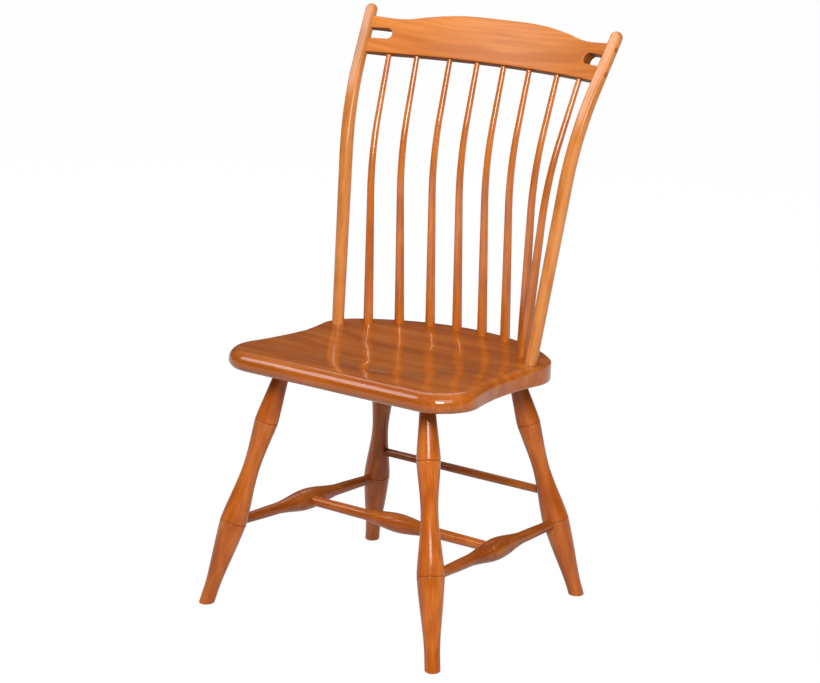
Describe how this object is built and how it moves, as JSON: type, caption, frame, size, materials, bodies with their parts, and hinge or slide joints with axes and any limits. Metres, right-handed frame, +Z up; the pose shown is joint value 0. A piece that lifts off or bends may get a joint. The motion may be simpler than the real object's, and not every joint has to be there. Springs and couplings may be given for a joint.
{
  "type": "side chair",
  "caption": "Wooden side chair with a slotted crest rail, slender bent spindles, a dished plank seat and splayed turned legs.",
  "frame": {"origin": "on the floor, midway between the chair's extremes from side to side and from front to back", "axes": "+Z up, +X to the right of someone facing the chair's front, -Y towards the front edge of the seat"},
  "size_m": [0.5462, 0.5414, 0.9968],
  "materials": {
    "seat_wood": "stained hardwood under semi-gloss lacquer",
    "turned_wood": "stained hardwood under semi-gloss lacquer",
    "back_wood": "stained hardwood under semi-gloss lacquer",
    "crest_wood": "stained hardwood under semi-gloss lacquer",
    "plug_wood": "end grain under semi-gloss lacquer",
    "screw_steel": "plain steel"
  },
  "bodies": {
    "root": {"back_post_left": "back_wood", "back_post_right": "back_wood", "centre_stretcher": "turned_wood", "crest_rail": "crest_wood", "crest_screw_plugs": "plug_wood", "crest_screws": "screw_steel", "leg_back_left": "turned_wood", "leg_back_right": "turned_wood", "leg_front_left": "turned_wood", "leg_front_right": "turned_wood", "rear_stretcher": "turned_wood", "seat_board_1": "seat_wood", "seat_board_2": "seat_wood", "seat_board_3": "seat_wood", "seat_board_4": "seat_wood", "seat_board_5": "seat_wood", "side_stretcher_left": "turned_wood", "side_stretcher_right": "turned_wood", "spindle_1": "back_wood", "spindle_2": "back_wood", "spindle_3": "back_wood", "spindle_4": "back_wood", "spindle_5": "back_wood", "spindle_6": "back_wood", "spindle_7": "back_wood", "spindle_8": "back_wood"}
  },
  "joints": []
}
